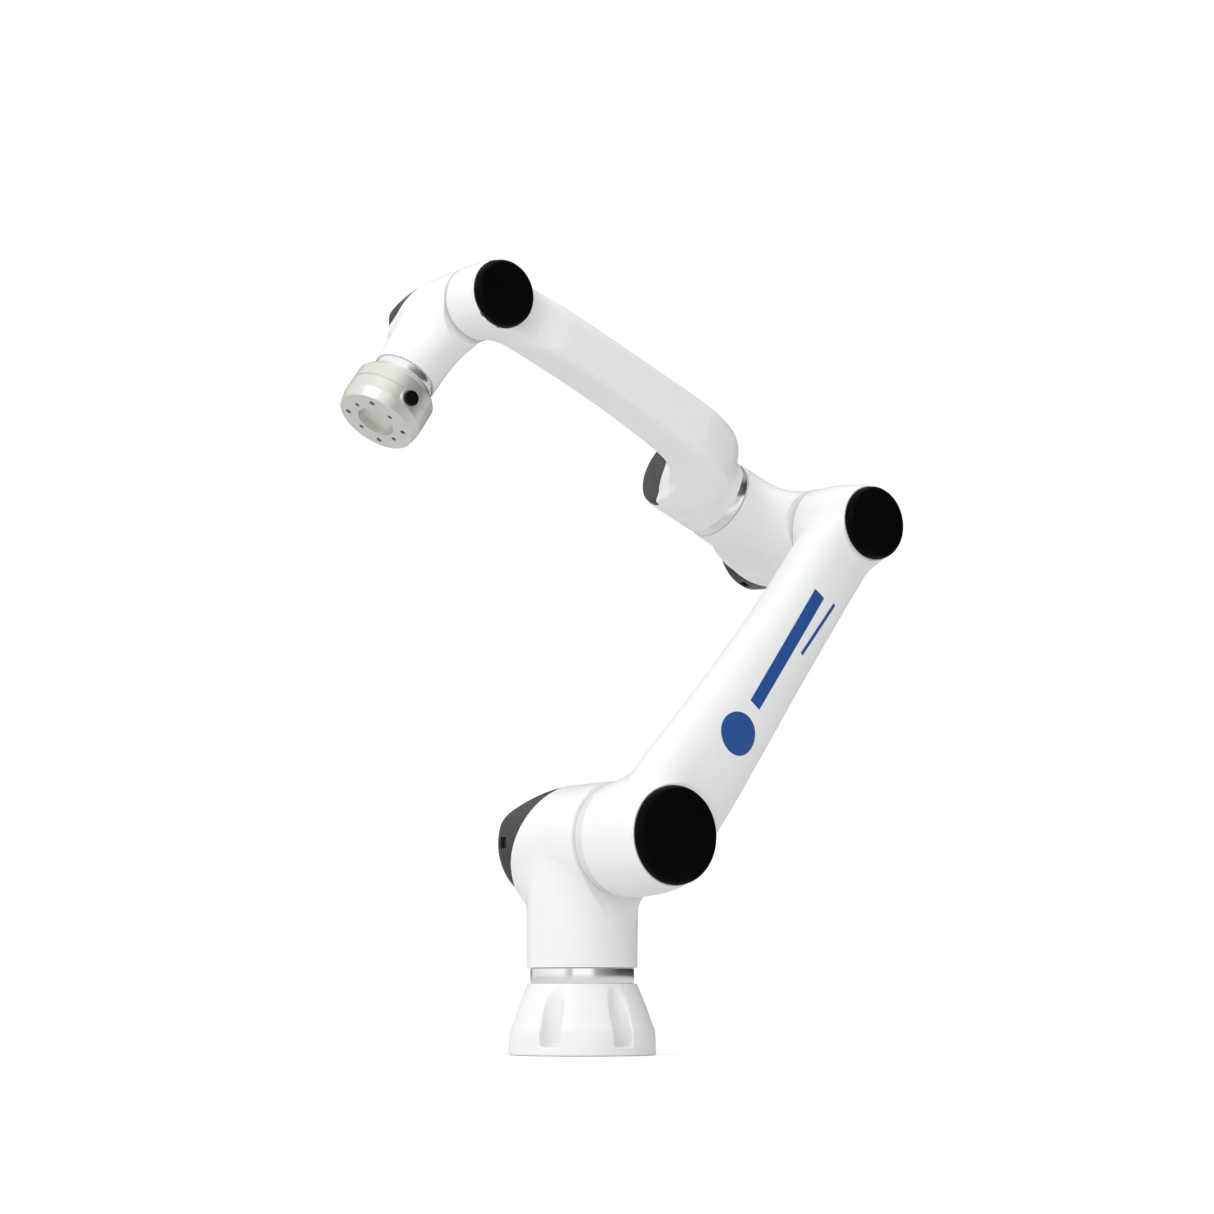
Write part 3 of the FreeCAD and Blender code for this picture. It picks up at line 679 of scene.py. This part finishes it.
def fore_f(s, y, n):
    o, beam = fore_outer(s, y, n)
    rs = np.sqrt(y * y + n * n)
    r5 = np.sqrt((s - 500.0) ** 2 + n * n)
    # the wrist turns beside the inner face
    o = np.maximum(o, -np.maximum(r5 - 39.6, y - 54.5))
    f = np.maximum(o, -(o + 5.0))
    f = np.maximum(f, -np.maximum(rs - 15.0, np.abs(s - 104.0) - 15.0))
    f = np.maximum(f, -np.maximum(np.maximum(rs - 41.2, 165.0 - s), y + 2.4))
    f = np.maximum(f, -np.maximum(r5 - 30.0, np.abs(y - 112.0) - 15.0))
    f = np.maximum(f, -np.maximum(r5 - 12.0, np.abs(y - 52.0) - 16.0))
    return f


P, Q = nets(fore_f, (105.5, -49.5, -50.5), (542.0, 113.0, 50.5), 1.75)
bm = skin_bm(P, Q)
slice_off(bm, (111.0, 0, 0), (-1, 0, 0), lambda c: c.x < 117)
slice_off(bm, (0, 103.0, 0), (0, 1, 0), lambda c: c.y > 101.8 and (c.x - 500.0) ** 2 + c.z ** 2 < 1500.0)
slice_off(bm, (0, 60.0, 0), (0, -1, 0), lambda c: c.x > 458 and c.y < 66)
to_world(bm, J3, E4, YY, N4)
finish_mesh("forearm_cast", bm, "white", node="forearm_shell", angle=38)

# ------------------------------------------------------------------ base casting
b_r = curve([-1, 0, 25, 32.5, 46, 56, 64.5, 70, 72.7, 76], [77.0, 77.0, 76.0, 72.9, 68.4, 64.4, 60.6, 58.2, 57.0, 55.5])
POCK = [(math.sin(rad(3 + 60 * i)) * 69.0, math.cos(rad(3 + 60 * i)) * 69.0) for i in range(6)]


def base_f(x, y, z):
    r = np.sqrt(x * x + y * y)
    o = (r - b_r(z)) * 0.92
    o = smax(o, -z, 1.6)
    for px, py_ in POCK:
        ln = math.hypot(px, py_)
        ux, uy = px / ln, py_ / ln
        al = (x - px) * ux + (y - py_) * uy
        ac = -(x - px) * uy + (y - py_) * ux
        d = np.hypot(np.minimum(al, 0), ac) - 11.0
        d = smax(d, 9.0 - z, 3.0)
        o = smax(o, -d, 2.6)
        o = np.maximum(o, -(np.hypot(x - px, y - py_) - 4.5))
    core = np.maximum(r - np.interp(z, [4, 30, 52, 64.7], [50.0, 50.0, 44.0, 44.0]), np.maximum(4.0 - z, z - 64.7))
    core = np.minimum(core, r - 30.0)
    core = np.minimum(core, np.maximum(r - 52.0, z - 4.0))
    port = np.maximum(np.maximum(np.abs(y) - 17.0, np.abs(z - 24.0) - 11.0), x + 44.0)
    core = np.minimum(core, port)
    return np.maximum(o, -core)


P, Q = nets(base_f, (-79.0, -79.0, -2.2), (79.0, 79.0, 75.5), 1.45)
bm = skin_bm(P, Q)
slice_off(bm, (0, 0, 72.7), (0, 0, 1))
slice_off(bm, (0, 0, 0.0), (0, 0, -1))
to_world(bm, J1, np.array([1.0, 0, 0]), YY, ZZ)
finish_mesh("base_cast", bm, "white", node="base_casting", angle=42)


# ------------------------------------------------------------------ rings, caps
def turned(name, node, mat, O, axis, profile, seg=144, angle=30, xref=None):
    if xref is None:
        xref = np.array([1.0, 0.013, 0.02]) if abs(axis[0]) < 0.8 else np.array([0.02, 1.0, 0.01])
    bm = lathe_bm(profile, O, axis, xref, seg)
    return finish_mesh(name, bm, mat, node=node, angle=angle)


def ring_profile(ri, ro, t0, t1, bev=0.5, waist=None):
    pts = [(ri, t0), (ro, t0, bev)]
    if waist:
        for (wt, depth, w) in waist:
            pts += [(ro, wt - w), (ro - depth, wt - 0.6 * w), (ro - depth, wt + 0.6 * w), (ro, wt + w)]
    pts += [(ro, t1, bev), (ri, t1)]
    return rounded(pts)


turned("j1_ring_polished", "j1_output_ring", "ring_z", J2, -ZZ,
       ring_profile(14.0, 54.0, 131.1, 220.0 - 72.7, 0.8), seg=192)
turned("j2_ring_seam", "j2_output_ring", "seam", J2, YY, ring_profile(15.5, 57.0, 62.0, 77.6, 0.6, [(69.0, 0.5, 0.8)]))
turned("j3_ring_seam", "j3_output_ring", "seam", J3, YY, ring_profile(13.0, 47.0, 71.0, 76.0, 0.5))
turned("j4_ring_polished", "j4_output_ring", "ring_4", J3, E4, ring_profile(12.5, 45.0, 98.3, 111.0, 0.7), seg=192)
turned("j5_ring_seam", "j5_output_ring", "seam", J5, YY, ring_profile(11.0, 36.8, 55.6, 60.0, 0.5))
turned("j6_ring_polished", "j6_output_ring", "ring_6", J5, E6, ring_profile(10.5, 33.0, 88.1, 97.0, 0.6), seg=192)


def cap_profile(y_seat, y_face, r_seat, r_face, r_plug):
    h = y_face - y_seat
    return rounded([(0, y_seat - 5), (r_plug, y_seat - 5, 0.8), (r_plug, y_seat), (r_seat - 0.6, y_seat),
                    (r_seat, y_seat + 0.6), (r_seat + 0.35, y_seat + 0.30 * h, 3.0), (r_seat - 0.2, y_seat + 0.62 * h, 4.0),
                    (r_face + 1.1, y_face - 0.9, 1.6), (r_face - 1.2, y_face, 1.0), (r_face - 2.4, y_face, 0.2),
                    (r_face - 2.7, y_face - 0.35, 0.1), (r_face - 3.2, y_face - 0.35, 0.1), (r_face - 3.6, y_face - 0.05, 0.2),
                    (0, y_face - 0.02)], steps=5)


turned("cap_shoulder_end", "upper_arm_lower_cap", "black", J2, YY, cap_profile(151.0, 163.0, 50.0, 46.7, 43.8), angle=24)
turned("cap_elbow_end", "upper_arm_upper_cap", "black", J3, YY, cap_profile(149.0, 160.0, 40.0, 36.8, 34.3), angle=24)
turned("cap_wrist_end", "forearm_wrist_cap", "black", J5, YY, cap_profile(103.0, 113.0, 34.3, 31.2, 29.3), angle=24)

# ------------------------------------------------------------------ tool side connector
CO = J5 + 129.0 * E6
bm = lathe_bm(rounded([(0, 42), (7.85, 42), (7.85, 49.1, 0.5), (7.3, 50.0, 0.3), (6.4, 50.0, 0.3), (6.2, 47.8, 0.3), (5.2, 47.6),
                       (5.2, 48.9, 0.3), (0, 48.9)]), CO, YY, E6, 72)
for i in range(8):
    rr = 0.0 if i == 7 else 3.0
    a = 2 * math.pi * i / 7
    lathe_bm(rounded([(0, 48.5), (0.5, 48.5), (0.5, 49.6, 0.25), (0, 49.75)]),
             CO + (E6 * math.cos(a) + N6 * math.sin(a)) * rr, YY, E6, 12, bm)
finish_mesh("tool_connector_socket", bm, "connector", node="tool_connector", angle=30)

# ------------------------------------------------------------------ carried-over nodes
KEEP = {}
for n in NODES:
    if n.endswith("_cover") and n.split("_")[0] in ("shoulder", "elbow", "wrist"):
        KEEP[n] = "cover"
    elif n.endswith("_stator"):
        KEEP[n] = "copper"
    elif n.endswith("_rotor"):
        KEEP[n] = "rotor"
    elif n.endswith(("_circular_spline", "_flexspline", "_bearing")):
        KEEP[n] = "gear"
    elif n.endswith("_drive_boards"):
        KEEP[n] = "board"
    elif n.endswith("_harness"):
        KEEP[n] = "cable"
KEEP.update({"forearm_elbow_cap": "cover", "base_bottom_cover": "plate", "base_power_socket": "socket",
             "tool_flange": "flange", "tool_flange_screws": "screw"})
for n, o in NODES.items():
    if o.hide_render:
        continue
    paint(o, KEEP.get(n, "plate"))
    o.data.shade_smooth()
    o.data.set_sharp_from_angle(angle=rad(28))

# contacts inside the power socket
bm = bmesh.new()
for yy_, zz_ in ((0.5, 21.5), (8.5, 21.5), (4.5, 23.5)):
    m = Matrix.Translation(Vector((-0.0665, yy_ / 1000.0, zz_ / 1000.0))) @ Matrix.Diagonal((0.0085, 0.0012, 0.0032, 1))
    bmesh.ops.create_cube(bm, size=1.0, matrix=m)
bmesh.ops.bevel(bm, geom=bm.edges[:], offset=0.00025, segments=2, affect="EDGES")
finish_mesh("base_socket_contacts", bm, "brass", body=BODY_OF["base_power_socket"])


# ------------------------------------------------------------------ plain decal on the upper arm
def decal(name, outline, rows):
    """A film that lies on the casting. outline(u, v) in -1..1 gives (s, n) on the front face."""
    nu, nv = rows
    S = np.zeros((nu, nv))
    N = np.zeros((nu, nv))
    for i in range(nu):
        for j in range(nv):
            S[i, j], N[i, j] = outline(-1 + 2 * i / (nu - 1), -1 + 2 * j / (nv - 1))
    Yv = np.full(S.shape, 152.0)
    for _ in range(12):
        v = upper_outer(N, Yv, S)
        g = (upper_outer(N, Yv + 0.1, S) - upper_outer(N, Yv - 0.1, S)) / 0.2
        Yv = Yv - np.clip(v / np.maximum(g, 0.3), -4, 4)
    bm = bmesh.new()
    grid = {}
    for lay, off in ((0, 0.10), (1, -0.15)):
        for i in range(nu):
            for j in range(nv):
                p = (J2 + E2 * S[i, j] + N2 * N[i, j] + YY * (Yv[i, j] + off)) / 1000.0
                grid[lay, i, j] = bm.verts.new(Vector(p))
    for i in range(nu - 1):
        for j in range(nv - 1):
            bm.faces.new([grid[0, i, j], grid[0, i + 1, j], grid[0, i + 1, j + 1], grid[0, i, j + 1]])
            bm.faces.new([grid[1, i, j], grid[1, i, j + 1], grid[1, i + 1, j + 1], grid[1, i + 1, j]])
    for i in range(nu - 1):
        for j in (0, nv - 1):
            bm.faces.new([grid[0, i, j], grid[0, i + 1, j], grid[1, i + 1, j], grid[1, i, j]])
    for j in range(nv - 1):
        for i in (0, nu - 1):
            bm.faces.new([grid[0, i, j], grid[0, i, j + 1], grid[1, i, j + 1], grid[1, i, j]])
    return finish_mesh(name, bm, "blue", body=BODY_OF["upper_arm_shell"], angle=30)


def disc_map(s0, n0, r):
    def f(u, v):
        if abs(u) < 1e-9 and abs(v) < 1e-9:
            return s0, n0
        # square to disc
        x = u * math.sqrt(1 - v * v / 2)
        y = v * math.sqrt(1 - u * u / 2)
        return s0 + r * x, n0 + r * y
    return f


def bar_map(s0, s1, n0, w0, w1, dn):
    def f(u, v):
        t = (u + 1) / 2
        return s0 + (s1 - s0) * t, n0 + dn * t + v * (w0 + (w1 - w0) * t) / 2
    return f


decal("decal_disc", disc_map(139.5, -1.0, 23.0), (25, 25))
decal("decal_bar_wide", bar_map(178.0, 336.0, 1.0, 15.0, 15.0, 5.5), (48, 8))
decal("decal_bar_thin", bar_map(266.0, 342.0, -14.5, 4.0, 4.0, -2.0), (24, 4))

# ------------------------------------------------------------------ cable bundles inside the links
def bundle(name, node, O, axis, s0, s1, r, rb, hb):
    turned(name, node, "cable", O, axis,
           rounded([(0, s0 - 6), (rb, s0 - 6, 0.6), (rb, s0 - 6 + hb, 0.6), (r, s0 - 6 + hb), (r, s1 + 6 - hb),
                    (rb, s1 + 6 - hb, 0.6), (rb, s1 + 6, 0.6), (0, s1 + 6)]), seg=40)


bundle("upper_arm_cable", "upper_arm_harness", np.asarray(J2) + np.asarray(YY) * 100.0, E2, 14.0, float(np.linalg.norm(np.asarray(J3) - np.asarray(J2))) - 14.0, 6.0, 9.0, 14.0)
bundle("forearm_cable", "forearm_harness", np.asarray(J3) + np.asarray(YY) * 82.5, E4, 216.0, 486.0, 5.0, 7.5, 12.0)

# ------------------------------------------------------------------ floor and light
bm = bmesh.new()
bmesh.ops.create_circle(bm, cap_ends=True, radius=60.0, segments=96)
me = bpy.data.meshes.new("floor")
bm.to_mesh(me)
bm.free()
floor = bpy.data.objects.new("floor", me)
floor.location = (0, 0, -0.0005)
bpy.context.scene.collection.objects.link(floor)
fm, nt, bsdf = new_mat("floor_pale")
nt.nodes.remove(bsdf)
outm = [q for q in nt.nodes if q.type == "OUTPUT_MATERIAL"][0]
lit = nt.nodes.new("ShaderNodeBsdfDiffuse")
lit.inputs["Color"].default_value = (0.74, 0.74, 0.75, 1)
glow = nt.nodes.new("ShaderNodeEmission")
glow.inputs["Color"].default_value = (1, 1, 1, 1)
glow.inputs["Strength"].default_value = 0.42
add = nt.nodes.new("ShaderNodeAddShader")
nt.links.new(lit.outputs[0], add.inputs[0])
nt.links.new(glow.outputs[0], add.inputs[1])
lpf = nt.nodes.new("ShaderNodeLightPath")
mixf = nt.nodes.new("ShaderNodeMixShader")
nt.links.new(lpf.outputs["Is Camera Ray"], mixf.inputs["Fac"])
nt.links.new(lit.outputs[0], mixf.inputs[1])
nt.links.new(add.outputs[0], mixf.inputs[2])
nt.links.new(mixf.outputs[0], outm.inputs["Surface"])
me.materials.append(fm)

world = bpy.data.worlds.new("world")
bpy.context.scene.world = world
world.use_nodes = True
nt = world.node_tree
nt.nodes.clear()
out = nt.nodes.new("ShaderNodeOutputWorld")
tc = nt.nodes.new("ShaderNodeTexCoord")


def wdot(v):
    n = nt.nodes.new("ShaderNodeVectorMath")
    n.operation = "DOT_PRODUCT"
    n.inputs[1].default_value = tuple(v)
    nt.links.new(tc.outputs["Generated"], n.inputs[0])
    return n.outputs["Value"]


def wramp(fac, stops):
    r = nt.nodes.new("ShaderNodeValToRGB")
    el = r.color_ramp.elements
    while len(el) < len(stops):
        el.new(0.5)
    for q, (p, v) in zip(el, stops):
        q.position = p
    for q, (p, v) in zip(el, stops):
        q.position = p
        q.color = (v, v, v * 0.99, 1)
    nt.links.new(fac, r.inputs["Fac"])
    return r.outputs["Color"]


def wmap(val, a, b, c, d):
    m = nt.nodes.new("ShaderNodeMapRange")
    for key, q in zip(("From Min", "From Max", "To Min", "To Max"), (a, b, c, d)):
        m.inputs[key].default_value = q
    nt.links.new(val, m.inputs["Value"])
    return m.outputs["Result"]


# soft box round the arm: brighter from the front left and above, dimmer to the right and below
ldir = Vector(-0.60 * right + 0.40 * up + 0.69 * back).normalized()
soft = wramp(wmap(wdot(ldir), -1, 1, 0, 1), [(0.0, 0.40), (0.5, 0.80), (1.0, 1.18)])
bg_soft = nt.nodes.new("ShaderNodeBackground")
nt.links.new(soft, bg_soft.inputs["Color"])
# what polished metal sees: the same studio with its dark side
back_h = Vector((back.x, back.y, 0)).normalized()
at = nt.nodes.new("ShaderNodeMath")
at.operation = "ARCTAN2"
nt.links.new(wdot(right), at.inputs[0])
nt.links.new(wdot(back_h), at.inputs[1])
band = wramp(wmap(at.outputs[0], -math.pi, math.pi, 0, 1),
             [(0.0, 0.05), (0.05, 0.12), (0.11, 0.85), (0.38, 1.15), (0.431, 0.45), (0.447, 1.15),
              (0.555, 1.15), (0.585, 0.42), (0.66, 0.22), (0.76, 0.05), (1.0, 0.04)])
top = nt.nodes.new("ShaderNodeMixRGB")
nt.links.new(wmap(wdot((0, 0, 1)), 0.45, 0.80, 0, 1), top.inputs["Fac"])
nt.links.new(band, top.inputs["Color1"])
top.inputs["Color2"].default_value = (1.05, 1.05, 1.05, 1)
bg_gloss = nt.nodes.new("ShaderNodeBackground")
nt.links.new(top.outputs["Color"], bg_gloss.inputs["Color"])
seen = nt.nodes.new("ShaderNodeBackground")
seen.inputs["Color"].default_value = (1, 1, 1, 1)
seen.inputs["Strength"].default_value = 1.05
lp = nt.nodes.new("ShaderNodeLightPath")
mg = nt.nodes.new("ShaderNodeMixShader")
nt.links.new(lp.outputs["Is Glossy Ray"], mg.inputs["Fac"])
nt.links.new(bg_soft.outputs[0], mg.inputs[1])
nt.links.new(bg_gloss.outputs[0], mg.inputs[2])
mix = nt.nodes.new("ShaderNodeMixShader")
nt.links.new(lp.outputs["Is Camera Ray"], mix.inputs["Fac"])
nt.links.new(mg.outputs[0], mix.inputs[1])
nt.links.new(seen.outputs[0], mix.inputs[2])
nt.links.new(mix.outputs["Shader"], out.inputs["Surface"])


def area(name, pos, target, size, power):
    d = bpy.data.lights.new(name, "AREA")
    d.shape = "DISK"
    d.size = size
    d.energy = power
    o = bpy.data.objects.new(name, d)
    bpy.context.scene.collection.objects.link(o)
    o.location = pos
    v = Vector(target) - Vector(pos)
    o.rotation_euler = v.to_track_quat("-Z", "Y").to_euler()
    return o


centre = Vector((0.0, 0.05, 0.40))
area("key", centre + back * 2.2 - right * 1.6 + Vector((0, 0, 1.9)), centre, 1.8, 20.0)
area("top", centre + Vector((-0.6, 0.2, 2.6)), centre, 2.2, 7.0)

sc = bpy.context.scene
sc.view_settings.view_transform = "Standard"
sc.view_settings.look = "None"
sc.view_settings.exposure = 0.0
